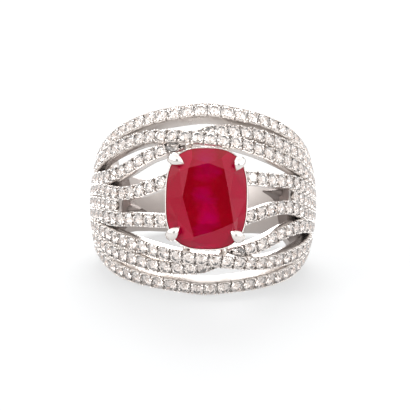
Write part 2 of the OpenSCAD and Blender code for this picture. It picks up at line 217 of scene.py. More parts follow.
class RingColours(bpy.types.PropertyGroup):
    """Colours of the ring and of the studio floor."""

    gold: colour("White gold", "Colour of the polished metal", "#F6F1ED")
    # Painted shade: the colour that the metal is darkened towards in the cuts, under other rows, in
    # the openings and on the claws.
    painted_shade: colour("Recess", "Colour of the metal in the cuts between the stones", "#624F48")
    ruby: colour("Ruby", "Colour of the ruby where light comes back through its table", "#AE0036")
    # Painted light and shade: the bright colour lies in the middle of the ruby and the dark one
    # towards both sides, broken up by growth zones.
    ruby_painted_light_and_zones: colour("Ruby bright zones", "Colour of the brightest growth zones in the middle",
                        "#B00049")
    ruby_painted_shade_and_zones: colour("Ruby dark bands", "Colour of the dark bands on both sides of the middle",
                      "#9E0018")
    # Painted light: the crown facets are tinted towards this colour in lighter and darker shares.
    ruby_crown_painted_light: colour("Ruby crown", "Colour of the ruby under its outer facets", "#C8003C")
    diamond: colour("Diamond", "Body colour of the diamonds", "#FFF5EE")
    floor: colour("Floor", "Colour of the studio floor", "#78797A")


class Ring:
    """The ring's surfaces and paths in millimetres, upright, with the ruby facing -Y."""

    def __init__(self, half=1):
        """half is 1 for the upper rows and -1 for the lower ones, whose rim row doesn't swell."""
        sizes = bpy.context.scene.ring_sizes
        for name in sizes.__annotations__:
            share = 1 if name in ("row_share", "row_roll") else 1 / MM
            setattr(self, name, getattr(sizes, name) * share)
        if half < 0:
            self.rim_swell = 0.0

    def radius(self, t):
        return self.dome_r if math.cos(math.radians(t)) > 0 else self.back_r

    def on_dome(self, t, z):
        """The point of the dome at angle t round the finger and height z along it."""
        a = math.radians(t)
        k = math.sqrt(1 - (z / self.dome_half_axis) ** 2)
        return Vector((self.shoulder_r * k * math.sin(a), -self.radius(t) * k * math.cos(a), z))

    def outward(self, t, z):
        p = self.on_dome(t, z)
        return Vector((p.x / self.shoulder_r ** 2, p.y / self.radius(t) ** 2,
                       p.z / self.dome_half_axis ** 2)).normalized()

    def above(self, t, z, lift):
        return self.on_dome(t, z) + lift * self.outward(t, z)

    def swell(self, path, t):
        """What the rim row gains in width at t, where it is more than 7 mm along the finger."""
        return self.rim_swell * max(0, (smooth(path, t, 1) - 7) / 1.8)

    def width(self, path, t):
        return self.row_share * smooth(path, t, 3) + self.swell(path, t)

    def middle(self, path, t):
        """The middle of a row at t. The rim row's swell goes outwards, but for a tenth of it."""
        return self.above(t, smooth(path, t, 1) + 0.4 * self.swell(path, t), smooth(path, t, 2))

    def directions(self, path, t):
        """Across the row, along it and out of it at t."""
        along = (self.middle(path, t + 0.5) - self.middle(path, t - 0.5)).normalized()
        face = self.outward(t, smooth(path, t, 1))
        face.z *= 1 + self.row_roll * max(0, math.cos(math.radians(t)))
        across = face.cross(along).normalized()
        return across, along, along.cross(across)


def step_of(marks, value):
    """Which of some rising marks a value follows; the last but one at the most."""
    return min(max(bisect_right(marks, value) - 1, 0), len(marks) - 2)


def smooth(table, t, column):
    """Reads a table at t on the smooth curve through its rows."""
    i = step_of([row[0] for row in table], t)
    step = table[i + 1][0] - table[i][0]
    u = (t - table[i][0]) / step

    def slope(k):
        a = table[max(k - 1, 0)]
        b = table[min(k + 1, len(table) - 1)]
        return (b[column] - a[column]) / (b[0] - a[0])

    here, there = table[i][column], table[i + 1][column]
    return (here * (1 + 2 * u) * (1 - u) ** 2 + there * u * u * (3 - 2 * u)
            + step * (slope(i) * u * (1 - u) ** 2 - slope(i + 1) * u * u * (1 - u)))


def straight(known, wanted, value):
    """Reads wanted where known has a value, on the straight lines between their entries."""
    i = step_of(known, value)
    u = (value - known[i]) / (known[i + 1] - known[i])
    return wanted[i] + u * (wanted[i + 1] - wanted[i])


class Ruler:
    """Turns a length along a path into the angle there, and back."""

    def __init__(self, ring, path):
        first, last = path[0][0], path[-1][0]
        count = 400
        self.angles = [first + (last - first) * i / count for i in range(count + 1)]
        self.lengths = [0]
        before = ring.middle(path, first)
        for t in self.angles[1:]:
            here = ring.middle(path, t)
            self.lengths.append(self.lengths[-1] + (here - before).length)
            before = here

    def angle(self, s):
        return straight(self.lengths, self.angles, s)

    def length(self, t):
        return straight(self.angles, self.lengths, t)


# In millimetres: metal outside a stone, gap between two stones, radius of the largest stone.
STONE_RAIL = 0.05
STONE_GAP = 0.03
STONE_R = 0.66
# Sections across a stone's seat: place in shares of its radius, tops of the walls, depth of the
# bed in shares of the row's half width, and painted shade in the seat.
SEAT = ((-0.8, -0.01, 0.34, 0.06), (-0.5, -0.07, 0.46, 0.08), (0.0, -0.11, 0.56, 0.1),
        (0.5, -0.07, 0.46, 0.08), (0.8, -0.01, 0.34, 0.06))
# Sections across the saw cut between two stones: place in millimetres, tops of the walls, and
# painted shade in the cut.
SAW_CUT = ((-0.08, 0.0, 0.08), (-0.035, -0.26, 0.5), (0.035, -0.26, 0.5), (0.08, 0.0, 0.08))
SAW_CUT_BED = 0.36
# Plain stretches: distance from the stones, depth of the bed as above, and painted shade up to an
# angle, where they dip under other rows.
PLAIN_GAP, PLAIN_BED = 0.15, 0.02
PLAIN_PAINTED_SHADE, PLAIN_DARK_TO = 0.6, 60
# Angle from which the rim rows stand free over the openings, and degrees that the change takes.
FREE_FROM, FREE_CHANGE = 66, 16


def seats(ring, path, ruler, stretch):
    """Stones of a stretch, from the anchor both ways: (length along the path, radius)."""
    start, end, anchor = stretch
    low, high = ruler.length(start), ruler.length(end)
    found = []
    # The row's width is read about where the stone's middle comes to lie.
    ahead = 0.6
    for way in (1, -1):
        s = ruler.length(anchor)
        while True:
            t = ruler.angle(max(min(s + way * ahead, high), low))
            r = min(ring.width(path, t) / 2 - STONE_RAIL, STONE_R)
            centre = s + way * (r + STONE_GAP / 2)
            if centre + r > high or centre - r < low:
                break
            found.append((centre, r))
            s = centre + way * (r + STONE_GAP / 2)
    return sorted(found)


class Shape:
    """Collects points in ring millimetres, each with its painted shade, for a mesh laid in place.
    """

    def __init__(self):
        self.points = []
        self.faces = []
        self.painted_shade = []

    def loft(self, rings, painted_shade=None, closed=False):
        """A skin over rings of equally many points, with flat ends unless it closes on itself."""
        m = len(rings[0])
        starts = [len(self.points) + i * m for i in range(len(rings))]
        for i, points in enumerate(rings):
            self.points += points
            self.painted_shade += painted_shade[i] if painted_shade else [0.0] * m
        pairs = list(zip(starts, starts[1:]))
        if closed:
            pairs.append((starts[-1], starts[0]))
        for a, b in pairs:
            for j in range(m):
                k = (j + 1) % m
                self.faces.append((a + j, a + k, b + k, b + j))
        if not closed:
            self.faces.append(tuple(starts[0] + j for j in reversed(range(m))))
            self.faces.append(tuple(starts[-1] + j for j in range(m)))

    def turn(self):
        """Turns all points so far by half a turn about the ruby's axis."""
        self.points = [Vector((-p.x, p.y, -p.z)) for p in self.points]

    def mesh(self, name):
        data = bpy.data.meshes.new(name)
        data.from_pydata([LAY @ p for p in self.points], [], self.faces)
        layer = data.attributes.new("painted_shade", "FLOAT", "POINT")
        layer.data.foreach_set("value", self.painted_shade)
        data.validate()
        return data


def outward_faces(data):
    """Turns every closed shell of a mesh so that its faces point out."""
    work = bmesh.new()
    work.from_mesh(data)
    bmesh.ops.recalc_face_normals(work, faces=work.faces)
    work.to_mesh(data)
    work.free()


def put(name, data, material, nodes, crease=None):
    """Makes a piece of a mesh, gives it its finish and lets it ride on the ring. Edges that bend by
    more than crease degrees stay sharp, or all of them without a crease."""
    piece = bpy.data.objects.new(name, data)
    bpy.context.scene.collection.objects.link(piece)
    data.materials.clear()
    data.materials.append(material)
    if crease is None:
        data.shade_flat()
    else:
        data.shade_smooth()
        data.set_sharp_from_angle(angle=math.radians(crease))
    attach(piece, "root")
    if nodes:
        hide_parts(*nodes)


def new_finish(name):
    """A node material, its tree, and the tree's socket for places on the piece."""
    made = bpy.data.materials.new(name)
    made.use_nodes = True
    made.node_tree.nodes.clear()
    place = add(made.node_tree, "ShaderNodeTexCoord")
    return made, made.node_tree, place.outputs["Object"]


def white_gold():
    """18 carat white gold, cast, polished and rhodium plated: bright and nearly neutral, with faint
    rubbing lines, a soft haze where the buff can't reach, and painted shade that darkens it between
    the stones, under other rows, in the openings and on the claws."""
    colours = bpy.context.scene.ring_colours
    made, tree, place = new_finish("polished_white_gold")
    deep = add(tree, "ShaderNodeAttribute", attribute_name="painted_shade")
    # Rubbing lines of the last polish, 0.12 mm apart, coarser than the real ones so that they show.
    lines = add(tree, "ShaderNodeMapping", {"Scale": (1.0, 1.0, 5.0), "Vector": place})
    scratch = add(tree, "ShaderNodeTexNoise",
                  {"Scale": 1700.0, "Detail": 3.0, "Roughness": 0.6,
                   "Vector": lines.outputs["Vector"]})
    haze = add(tree, "ShaderNodeTexNoise", {"Scale": 500.0, "Detail": 2.0, "Vector": place})
    # Painted shade: each point's mark mixes the metal towards the dark recess colour, and makes it
    # rougher as well.
    tone = add(tree, "ShaderNodeMix",
               {"A": colours.gold, "B": colours.painted_shade, "Factor": deep.outputs["Fac"]},
               data_type="RGBA")
    rough = add(tree, "ShaderNodeMapRange",
                {"From Min": 0.3, "From Max": 0.7, "To Min": 0.08, "To Max": 0.18,
                 "Value": haze.outputs["Fac"]})
    rougher = add(tree, "ShaderNodeMath",
                  {0: deep.outputs["Fac"], 1: 0.9, 2: rough.outputs["Result"]},
                  operation="MULTIPLY_ADD")
    bump = add(tree, "ShaderNodeBump",
               {"Strength": 0.12, "Distance": 0.00002, "Height": scratch.outputs["Fac"]})
    metal = add(tree, "ShaderNodeBsdfPrincipled",
                {"Metallic": 1.0, "Base Color": tone.outputs["Result"],
                 "Roughness": rougher.outputs["Value"], "Normal": bump.outputs["Normal"]})
    add(tree, "ShaderNodeOutputMaterial", {"Surface": metal.outputs["BSDF"]})
    return made


def cut_diamond():
    """Diamond, brilliant cut and polished: nearly colourless, and it splits the studio into hard
    bright and dark flashes. Each stone takes a faintly different tone, as small melee does."""
    colours = bpy.context.scene.ring_colours
    made, tree, place = new_finish("cut_diamond")
    # Tone changes over about one stone, 1.2 mm.
    tone = add(tree, "ShaderNodeTexNoise", {"Scale": 800.0, "Detail": 1.0, "Vector": place})
    shade = add(tree, "ShaderNodeMix",
                {"A": paint("#F6E9E2"), "B": colours.diamond, "Factor": tone.outputs["Fac"]},
                data_type="RGBA")
    gem = add(tree, "ShaderNodeBsdfPrincipled",
              {"IOR": 2.42, "Transmission Weight": 1.0, "Roughness": 0.0,
               "Base Color": shade.outputs["Result"]})
    add(tree, "ShaderNodeOutputMaterial", {"Surface": gem.outputs["BSDF"]})
    return made


def cut_ruby():
    """Ruby, cushion cut and polished: deep pinkish red, with painted light that makes it brighter
    in the middle, where the back facets throw light out again, and darker towards both sides; soft
    growth zones break this up, the crown facets are painted lighter and darker, and a faint silk
    clouds the facets."""
    colours = bpy.context.scene.ring_colours
    made, tree, place = new_finish("cut_ruby")
    # Painted light and shade: the ruby is brighter in the middle and darker towards the sides.
    # Growth zones, about 3 mm wide and half as tall, bend the change from middle to sides.
    lying = add(tree, "ShaderNodeMapping", {"Scale": (1.0, 1.0, 2.2), "Vector": place})
    zones = add(tree, "ShaderNodeTexNoise",
                {"Scale": 330.0, "Detail": 2.0, "Distortion": 0.6,
                 "Vector": lying.outputs["Vector"]})
    split = add(tree, "ShaderNodeSeparateXYZ", {"Vector": place})
    away = add(tree, "ShaderNodeMath",
               {0: split.outputs["X"], 1: split.outputs["X"]}, operation="MULTIPLY")
    # From Max is 2.2 mm squared.
    reach = add(tree, "ShaderNodeMapRange",
                {"From Min": 0.0, "From Max": 4.84e-6, "Value": away.outputs["Value"]})
    bent = add(tree, "ShaderNodeMath",
               {0: zones.outputs["Fac"], 1: 1.3, 2: reach.outputs["Result"]},
               operation="MULTIPLY_ADD")
    table = add(tree, "ShaderNodeValToRGB", {"Fac": bent.outputs["Value"]})
    ramp = table.color_ramp
    ramp.elements[0].position = 0.54
    ramp.elements[0].color = colours.ruby_painted_light_and_zones
    ramp.elements[1].color = colours.ruby_painted_shade_and_zones
    middle = ramp.elements.new(0.76)
    middle.color = colours.ruby
    # Painted light: the crown facets around the table are a little pinker all the way round, each
    # by its own share, so that some look lighter and some darker.
    crown = add(tree, "ShaderNodeAttribute", attribute_name="crown")
    shade = add(tree, "ShaderNodeMix",
                {"B": colours.ruby_crown_painted_light, "Factor": crown.outputs["Fac"],
                 "A": table.outputs["Color"]}, data_type="RGBA")
    silk = add(tree, "ShaderNodeTexNoise", {"Scale": 2500.0, "Detail": 2.0, "Vector": place})
    cloud = add(tree, "ShaderNodeMapRange",
                {"From Min": 0.4, "From Max": 0.8, "To Min": 0.1, "To Max": 0.22,
                 "Value": silk.outputs["Fac"]})
    # Real ruby has an IOR of 1.76. This one and the low reflection are matched to the photo.
    gem = add(tree, "ShaderNodeBsdfPrincipled",
              {"IOR": 1.55, "Transmission Weight": 0.5, "Specular IOR Level": 0.05,
               "Base Color": shade.outputs["Result"], "Roughness": cloud.outputs["Result"]})
    add(tree, "ShaderNodeOutputMaterial", {"Surface": gem.outputs["BSDF"]})
    return made


def bar(ring, shape, name):
    """The metal bar under a row: a bed with a seat for each stone and a saw cut between stones."""
    path = PATHS[name]
    ruler = Ruler(ring, path)
    seated = [seats(ring, path, ruler, stretch) for stretch in STRETCHES[name]]
    stops = [seat for row in seated for seat in row]
    # Sections: length along the path, height of the walls' tops, depth of the bed, painted shade.
    cuts = []
    for row in seated:
        for s, r in row:
            cuts += [(s + share * r, top, bed, dark) for share, top, bed, dark in SEAT]
        for middle, r in row[:-1]:
            s = middle + r + STONE_GAP / 2
            cuts += [(s + shift, top, SAW_CUT_BED, dark) for shift, top, dark in SAW_CUT]
    # Plain metal, a section every millimetre.
    whole = ruler.lengths[-1]
    steps = int(whole)
    for i in range(steps + 1):
        s = whole * i / steps
        if all(abs(s - m) > r + PLAIN_GAP for m, r in stops):
            dark = PLAIN_PAINTED_SHADE if abs(ruler.angle(s)) < PLAIN_DARK_TO else 0.0
            cuts.append((s, 0.0, PLAIN_BED, dark))
    rings = []
    painted_shade = []
    for s, top, bed, dark in sorted(cuts):
        t = ruler.angle(s)
        w = ring.width(path, t) / 2
        across, along, out = ring.directions(path, t)
        p = ring.middle(path, t)
        # The rim rows stand free over the openings, so their inner wall goes down straight.
        free = max(0, min(1, (FREE_FROM - abs(t)) / FREE_CHANGE)) if name == "rim" else 0
        depth = (1 + 0.12 * free) * ring.row_depth
        side = (0.65 + 0.28 * free) * depth
        in_cut = dark if top < -0.2 else 0.0
        wall = 0.14 + 0.06 * free
        # Half the section, from its foot to the bed: place across, height, painted shade; the foot,
        # the walls and the cuts are painted darker.
        half = [(w - 0.2, -depth * (0.93 + 0.07 * free), 0.35), (w - 0.03, -side, wall + 0.05),
                (w, -side + 0.2, wall), (w, -0.36, wall), (w, top - 0.05, max(0.12, in_cut)),
                (w - 0.03, top, in_cut), (w - 0.09, top, in_cut), (w - 0.13, top - 0.1, dark)]
        if bed == PLAIN_BED:
            half = [(u, v, dark) for u, v, d in half]
        trough = [(0.45 * w, -bed * w, dark), (0, -bed * w * 1.4, dark),
                  (-0.45 * w, -bed * w, dark)]
        outline = half + trough + [(-u, v, d) for u, v, d in reversed(half)] + [(0, -depth, 0.35)]
        rings.append([p + u * across + v * out for u, v, d in outline])
        painted_shade.append([d for u, v, d in outline])
    shape.loft(rings, painted_shade)


def tube(shape, places, widths, side, sides=12):
    """A rounded rod through places; widths holds (across, thick) at each and side is its across."""
    rings = []
    for i, p in enumerate(places):
        way = (places[min(i + 1, len(places) - 1)] - places[max(i - 1, 0)]).normalized()
        u = (side - side.dot(way) * way).normalized()
        v = way.cross(u)
        rings.append([p + widths[i][0] * math.cos(a) * u + widths[i][1] * math.sin(a) * v
                      for a in (2 * math.pi * k / sides for k in range(sides))])
    shape.loft(rings, [[ROD_PAINTED_SHADE] * sides for p in places])


def cushion_point(ring, a, share, height, grow=0.0):
    """A point of a share of the ruby's outline at angle a, grown outwards by millimetres."""
    power = 2 / CUSHION_POWER
    x = ring.ruby_w / 2 * math.copysign(abs(math.cos(a)) ** power, math.cos(a))
    z = ring.ruby_l / 2 * math.copysign(abs(math.sin(a)) ** power, math.sin(a))
    k = math.hypot(x, z)
    return Vector((x * (share + grow / k), -height, z * (share + grow / k)))


def basket(ring, shape):
    """The ruby's seat: two rails, four claws with pointed tips, and the struts that tie it in."""
    g = ring.ruby_girdle
    count = 72
    for share, out, thick, low, high in RAILS:
        rings = []
        for k in range(count):
            a = 2 * math.pi * k / count
            # Across the rail, from its lower inner edge round the outside: growth and height.
            section = [(out - thick, -low + 0.05), (out - 0.12, -low), (out - 0.02, -low + 0.12),
                       (out, -(low + high) / 2), (out, -high - 0.1), (out - 0.05, -high),
                       (out - 0.16, -high - 0.02), (out - thick, -high - 0.45)]
            rings.append([cushion_point(ring, a, share, g + h, grow) for grow, h in section])
        shape.loft(rings, closed=True)
    for (bx, bz), (tx, tz) in CLAWS:
        places = [Vector((bx * k, -g - h, bz * k)) for k, h, wide, thick in CLAW_SHAFT]
        places += [Vector((bx + (tx - bx) * k, -g - h, bz + (tz - bz) * k))
                   for k, h, wide, thick in CLAW_HEAD]
        widths = [(wide, thick) for k, h, wide, thick in CLAW_SHAFT + CLAW_HEAD]
        side = Vector((tz - bz, 0, bx - tx)).normalized()
        tube(shape, places, widths, side)
    for turn in (1, -1):
        for side in (1, -1):
            ends = [Vector((side * x, y, z)) for x, y, z in STRUT]
            places = [ends[0].lerp(ends[1], k / 4) for k in range(5)]
            places = [Vector((p.x * turn, p.y, p.z * turn)) for p in places]
            tube(shape, places, [STRUT_HALF] * 5, Vector((1, 0, 0)), 14)


def shank(ring, shape):
    """The plain polished shank from one front opening round the back to the other."""
    angles = []
    degrees_apart = 3
    for a, b in zip(SHANK, SHANK[1:]):
        count = max(1, round((b[0] - a[0]) / degrees_apart))
        angles += [a[0] + (b[0] - a[0]) * i / count for i in range(count)]
    at, *columns = zip(*SHANK)
    right = [(t, *(straight(at, column, t) for column in columns)) for t in angles]
    stations = right + [(180, SHANK[-1][1], SHANK[-1][2], SHANK[-1][3])]
    stations += [(360 - t, -high, -low, under) for t, low, high, under in reversed(right)]
    rings = []
    for t, low, high, under in stations:
        a = math.radians(t)
        inner = [Vector(((BORE_R + d) * math.sin(a), -(BORE_R + d) * math.cos(a), z))
                 for d, z in ((0.12, high), (0.03, high - 0.06), (0, high - 0.16),
                              (0, low + 0.16), (0.03, low + 0.06), (0.12, low))]
        outer = [ring.above(t, low + (high - low) * k, -under - d) for k, d in SHANK_SIDE]
        rings.append(inner + outer)
    # The bore is satin and painted a little darker, and the shank's ends deep in the openings are
    # out of the buff's reach and in shade: over 20 degrees from the last stones forwards they get
    # rougher and are painted darker.
    last_stones, dulling = 92, 20
    satin_and_painted_shade = 0.45
    painted_shade = []
    for t, low, high, under in stations:
        deep = max(0, min(1, (last_stones - min(t, 360 - t)) / dulling))
        painted_shade.append([satin_and_painted_shade + 0.3 * deep] * 6 + [0.7 * deep] * len(SHANK_SIDE))
    shape.loft(rings, painted_shade)


def brilliant():
    """A round brilliant of radius 1: table, crown, thin girdle and pavilion, 110 triangles."""
    data = bpy.data.meshes.new("brilliant")

    def corner(r, h, k):
        """Corner k of sixteen, at radius r and height h."""
        return r * math.cos(math.pi * k / 8), r * math.sin(math.pi * k / 8), h

    table = [corner(0.56, 0.3, 2 * i) for i in range(8)]
    stars = [corner(0.78, 0.19, 2 * i + 1) for i in range(8)]
    top = [corner(1.0, 0.02, i) for i in range(16)]
    low = [corner(1.0, -0.02, i) for i in range(16)]
    deep = [corner(0.42, -0.51, 2 * i + 1) for i in range(8)]
    points = table + stars + top + low + deep + [(0, 0, -0.86)]
    faces = [tuple(range(8))]
    for i in range(8):
        n = (i + 1) % 8
        faces.append((i, 8 + i, n))
        faces.append((i, 8 + (i - 1) % 8, 16 + 2 * i, 8 + i))
        faces.append((8 + i, 16 + 2 * i, 16 + 2 * i + 1))
        faces.append((8 + i, 16 + 2 * i + 1, 16 + (2 * i + 2) % 16))
        faces.append((32 + 2 * i, 48 + i, 32 + 2 * i + 1))
        faces.append((32 + 2 * i + 1, 48 + i, 32 + (2 * i + 2) % 16))
        faces.append((48 + i, 56, 48 + (i + 1) % 8, 32 + (2 * i + 2) % 16))
    for k in range(16):
        faces.append((16 + k, 32 + k, 32 + (k + 1) % 16, 16 + (k + 1) % 16))
    data.from_pydata(points, [], faces)
    outward_faces(data)
    return data


def bead():
    """A small rounded grain of radius 1 with a flat foot, 34 triangles."""
    data = bpy.data.meshes.new("bead")
    points = [(0, 0, 1.0)]
    for r, h in ((0.62, 0.78), (1.0, 0.1), (0.9, -0.7)):
        points += [(r * math.cos(math.pi * k / 3), r * math.sin(math.pi * k / 3), h)
                   for k in range(6)]
    faces = [(0, 1 + k, 1 + (k + 1) % 6) for k in range(6)]
    for ring_start in (1, 7):
        for k in range(6):
            n = (k + 1) % 6
            faces.append((ring_start + k, ring_start + 6 + k, ring_start + 6 + n, ring_start + n))
    faces.append(tuple(13 + k for k in reversed(range(6))))
    data.from_pydata(points, [], faces)
    outward_faces(data)
    return data


def settings_tree(name):
    """A tree that puts one shape on every point, turned and sized by the points' own attributes."""
    tree = bpy.data.node_groups.new(name, "GeometryNodeTree")
    for label, kind in (("Geometry", "Geometry"), ("Shape", "Object"), ("Size", "Float"),
                        ("Free turn", "Float"), ("Seed", "Int"), ("Finish", "Material")):
        tree.interface.new_socket(label, in_out="INPUT", socket_type="NodeSocket" + kind)
    tree.interface.new_socket("Geometry", in_out="OUTPUT", socket_type="NodeSocketGeometry")
    given = add(tree, "NodeGroupInput")
    out, along, size = [
        add(tree, "GeometryNodeInputNamedAttribute", {"Name": label}, data_type=kind)
        for label, kind in (("out", "FLOAT_VECTOR"), ("along", "FLOAT_VECTOR"), ("size", "FLOAT"))]
    scale = add(tree, "ShaderNodeMath",
                {0: size.outputs["Attribute"], 1: given.outputs["Size"]}, operation="MULTIPLY")
    stand = add(tree, "FunctionNodeAxesToRotation",
                {"Primary Axis": out.outputs["Attribute"],
                 "Secondary Axis": along.outputs["Attribute"]},
                primary_axis="Z", secondary_axis="Y")
    chance = add(tree, "FunctionNodeRandomValue",
                 {"Max": given.outputs["Free turn"], "Seed": given.outputs["Seed"]},
                 data_type="FLOAT")
    spin = add(tree, "FunctionNodeAxisAngleToRotation",
               {"Axis": (0, 0, 1), "Angle": chance.outputs["Value"]})
    turned = add(tree, "FunctionNodeRotateRotation",
                 {"Rotation": stand.outputs["Rotation"], "Rotate By": spin.outputs["Rotation"]},
                 rotation_space="LOCAL")
    source = add(tree, "GeometryNodeObjectInfo", {"Object": given.outputs["Shape"]})
    placed = add(tree, "GeometryNodeInstanceOnPoints",
                 {"Points": given.outputs["Geometry"], "Instance": source.outputs["Geometry"],
                  "Rotation": turned.outputs["Rotation"], "Scale": scale.outputs["Value"]})
    real = add(tree, "GeometryNodeRealizeInstances", {"Geometry": placed.outputs["Instances"]})
    finish = add(tree, "GeometryNodeSetMaterial",
                 {"Geometry": real.outputs["Geometry"], "Material": given.outputs["Finish"]})
    add(tree, "NodeGroupOutput", {"Geometry": finish.outputs["Geometry"]})
    return tree


def repeat(name, tree, shape, marks, free_turn, seed, material):
    """Runs a tree over marks, each (place, out, along, size), and returns a plain mesh."""
    data = bpy.data.meshes.new(name + "_marks")
    data.from_pydata([m[0] for m in marks], [], [])
    for label, index in (("out", 1), ("along", 2)):
        layer = data.attributes.new(label, "FLOAT_VECTOR", "POINT")
        layer.data.foreach_set("vector", [c for m in marks for c in m[index]])
    layer = data.attributes.new("size", "FLOAT", "POINT")
    layer.data.foreach_set("value", [m[3] for m in marks])
    holder = bpy.data.objects.new(name + "_marks", data)
    model = bpy.data.objects.new(name + "_shape", shape)
    bpy.context.scene.collection.objects.link(holder)
    bpy.context.scene.collection.objects.link(model)
    step = holder.modifiers.new("repeat", "NODES")
    step.node_group = tree
    wanted = {"Shape": model, "Size": 1.0, "Free turn": free_turn, "Seed": seed, "Finish": material}
    for item in tree.interface.items_tree:
        if item.in_out == "INPUT" and item.name in wanted:
            step[item.identifier] = wanted[item.name]
    bpy.context.view_layer.update()
    graph = bpy.context.evaluated_depsgraph_get()
    made = bpy.data.meshes.new_from_object(holder.evaluated_get(graph))
    made.name = name
    bpy.data.objects.remove(holder)
    bpy.data.objects.remove(model)
    if len(made.polygons) == 0:
        raise RuntimeError(name + " came out empty")
    return made


# How high a stone's girdle and a grain's middle lie over the row's face, in millimetres.
STONE_LIFT, GRAIN_LIFT = -0.02, 0.03
# Radius of a large grain, and its place along the row from a saw cut and in from the row's edge.
GRAIN_R, GRAIN_ALONG, GRAIN_INSET = 0.11, 0.17, 0.115
# A small grain: place along the row from its stone, least room, and radius as a share of the room.
SMALL_ALONG, SMALL_ROOM, SMALL_SHARE = 0.16, 0.08, 0.62


def stone_places(ring, path, ruler, stops):
    """The stones of a stretch: length along the path, shift across it, lift, radius."""
    return [(s, 0.0, STONE_LIFT, r) for s, r in stops]


def grain_places(ring, path, ruler, stops):
    """The grains of a stretch, as the stones: four at each saw cut, and small ones beside a stone
    where the row is wide enough."""
    found = []
    ends = [stops[0][0] - stops[0][1] - STONE_GAP / 2] + [s + r + STONE_GAP / 2 for s, r in stops]
    for s in ends:
        w = ring.width(path, ruler.angle(s)) / 2
        found += [(s + way * GRAIN_ALONG, w - GRAIN_INSET, GRAIN_R) for way in (-1, 1)]
    for s, r in stops:
        w = ring.width(path, ruler.angle(s)) / 2
        if w - r > SMALL_ROOM:
            size = SMALL_SHARE * (w - r)
            found += [(s + way * SMALL_ALONG, (w + r) / 2, size) for way in (-1, 1)]
    return [(s, side * reach, GRAIN_LIFT, size) for s, reach, size in found for side in (-1, 1)]


def marks_of(names, half, places_of):
    """Marks for what sits on some paths of one half, in the laid-down ring."""
    ring = Ring(half)
    flip = Matrix.Rotation(math.pi, 4, "Y") if half < 0 else Matrix.Identity(4)
    way = LAY @ flip
    turn = way.to_3x3().normalized()
    marks = []
    for name in names:
        path = PATHS[name]
        ruler = Ruler(ring, path)
        for stretch in STRETCHES[name]:
            stops = seats(ring, path, ruler, stretch)
            for s, shift, lift, size in places_of(ring, path, ruler, stops):
                t = ruler.angle(s)
                across, along, out = ring.directions(path, t)
                p = ring.middle(path, t) + shift * across + lift * out
                marks.append((way @ p, turn @ out, turn @ along, size * MM))
    return marks


def ruby_mesh(ring):
    """The ruby: table, eight mains, eight stars, girdle facets, and a stepped pavilion."""
    g, c = ring.ruby_girdle, ring.ruby_crown
    count = 48
    girdle = [cushion_point(ring, 2 * math.pi * k / count, 1.0, 0.0) for k in range(count)]

    def nearest(angle):
        return round((angle % 360) / 360 * count) % count

    feet = [nearest(a) for a, tone in MAINS]
    planes = []
    for (x, z), f in zip(TABLE, feet):
        ahead, behind = girdle[(f + 1) % count], girdle[(f - 1) % count]
        edge = Vector((ahead.x - behind.x, ahead.z - behind.z)).normalized()
        n = Vector((edge.y, -edge.x))
        foot = Vector((girdle[f].x, girdle[f].z))
        if n.dot(foot) < 0:
            n = -n
        fall = c / (foot - Vector((x, z))).dot(n)
        # Height over the girdle is h0 - fall * (x, z) . n
        planes.append((fall * n.x, fall * n.y, c + fall * Vector((x, z)).dot(n)))
    middles = []
    for i in range(8):
        ax, az, ah = planes[i]
        bx, bz, bh = planes[(i + 1) % 8]
        # On the line where two mains meet, the point that lies nearest to the wanted place.
        line = Vector((ax - bx, az - bz))
        near = (Vector(TABLE[i]) + Vector(TABLE[(i + 1) % 8])) / 2
        a0, a1 = feet[i], feet[(i + 1) % 8]
        span = (a0 - a1) % count
        rim = girdle[(a1 + span // 2) % count]
        # The wanted place is about halfway from the table out to the girdle.
        wish = near.lerp(Vector((rim.x, rim.z)), 0.52)
        off = (line.dot(wish) - (ah - bh)) / line.length_squared
        p = wish - off * line
        h = ah - ax * p.x - az * p.y
        # Off the crown, or more than 0.6 mm from there, the wanted place itself is taken.
        if not 0.2 * c < h < 0.97 * c or (p - wish).length > 0.6:
            p = wish
            h = 0.55 * c
        middles.append(Vector((p.x, -h, p.y)))
    points = [Vector((x, -c, z)) for x, z in TABLE] + middles
    faces = [tuple(range(8))]
    tones = [0.0]
    first = len(points)
    points += [Vector((p.x, 0, p.z)) for p in girdle]
    for i in range(8):
        n = (i + 1) % 8
        faces.append((i, 8 + i, n))
        faces.append((i, 8 + (i - 1) % 8, first + feet[i], 8 + i))
        # Painted light: each crown facet takes its share of the pinker crown tone from MAINS.
        here, there = MAINS[i][1], MAINS[n][1]
        tones += [0.9 * (here + there) / 2, here]
        k = feet[i]
        while k != feet[n]:
            faces.append((8 + i, first + k, first + (k - 1) % count))
            nearer = here if (feet[i] - k) % count < (k - feet[n]) % count else there
            tones.append(0.85 * nearer)
            k = (k - 1) % count
    before = first
    for share, depth in PAVILION:
        start = len(points)
        points += [cushion_point(ring, 2 * math.pi * k / count, share, 0) + Vector(
            (0, depth * ring.ruby_pavilion, 0)) for k in range(count)]
        for k in range(count):
            n = (k + 1) % count
            faces.append((before + k, before + n, start + n, start + k))
        before = start
    faces.append(tuple(before + k for k in range(count)))
    data = bpy.data.meshes.new("ruby_cushion_cut")
    data.from_pydata([LAY @ Vector((p.x, p.y - g, p.z)) for p in points], [], faces)
    layer = data.attributes.new("crown", "FLOAT", "FACE")
    layer.data.foreach_set("value", tones + [0.0] * (len(faces) - len(tones)))
    outward_faces(data)
    return data


